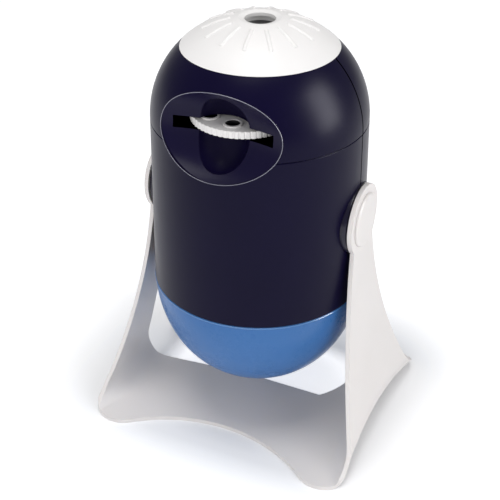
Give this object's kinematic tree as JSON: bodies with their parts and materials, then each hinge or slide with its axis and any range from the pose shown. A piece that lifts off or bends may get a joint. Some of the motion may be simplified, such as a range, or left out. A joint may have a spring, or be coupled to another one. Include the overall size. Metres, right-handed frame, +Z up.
{
  "type": "planetarium projector",
  "caption": "Capsule-shaped star projector that tips between the arms of a swept stand, with a turning slide disc in a front port and a ribbed focus cap on top.",
  "frame": {"origin": "on the ground plane, directly under the middle of the tilt axis, which is the middle of the footprint", "axes": "+X along the tilt axis towards the arm on the right as seen from the front, +Y towards the back with the battery door and the switch, +Z up through the projection opening"},
  "size_m": [0.1562, 0.133, 0.2342],
  "materials": {
    "white_plastic": "satin",
    "navy_plastic": "satin",
    "blue_plastic": "gloss",
    "black_plastic": "matte",
    "grey_plastic": "satin",
    "clear_lens": "polished",
    "slide_film": "gloss",
    "cell_jacket": "satin",
    "circuit_board": "satin",
    "steel": "brushed"
  },
  "bodies": {
    "stand": {"stand_frame": "white_plastic", "pivot_pin_right": "white_plastic", "pivot_pin_left": "white_plastic"},
    "barrel": {"lower_shell_front": "navy_plastic", "lower_shell_rear": "navy_plastic", "upper_shell_front": "navy_plastic", "upper_shell_rear": "navy_plastic", "base_dome": "blue_plastic", "port_insert": "navy_plastic", "hub_right": "navy_plastic", "hub_left": "navy_plastic", "disc_deck": "black_plastic", "disc_spindle": "black_plastic", "lamp_tower": "black_plastic", "lamp_led": "clear_lens", "condenser_lens": "clear_lens", "lens_deck": "black_plastic", "battery_box": "black_plastic", "battery_cells": "cell_jacket", "battery_door": "navy_plastic", "door_screw": "steel", "circuit_board": "circuit_board", "switch_base": "black_plastic", "shell_screws": "steel"},
    "slide_wheel": {"slide_disc": "white_plastic", "slide_films": "slide_film"},
    "focus_ring": {"focus_cap": "white_plastic"},
    "lens_carrier": {"lens_holder": "grey_plastic", "focus_lens": "clear_lens"},
    "power_switch": {"switch_slider": "black_plastic"}
  },
  "joints": [
    {"name": "barrel_tilt", "type": "hinge", "parent": "stand", "child": "barrel", "pos_m": [0, 0, 0.133], "axis": [1, 0, 0], "continuous": true},
    {"name": "slide_turn", "type": "hinge", "parent": "barrel", "child": "slide_wheel", "pos_m": [0, -0.019, 0.189], "axis": [0, 0, 1], "continuous": true},
    {"name": "focus_turn", "type": "hinge", "parent": "barrel", "child": "focus_ring", "pos_m": [0, 0, 0.2197], "axis": [0, 0, 1], "range_deg": [-135, 135]},
    {"name": "lens_travel", "type": "slide", "parent": "barrel", "child": "lens_carrier", "axis": [0, 0, 1], "range_m": [-0.00225, 0.00225]},
    {"name": "switch_travel", "type": "slide", "parent": "barrel", "child": "power_switch", "axis": [0, 0, 1], "range_m": [0, 0.007]}
  ],
  "couplings": [
    {"joint": "lens_travel", "follows": "focus_turn", "m_per_rad": 0.00095}
  ]
}
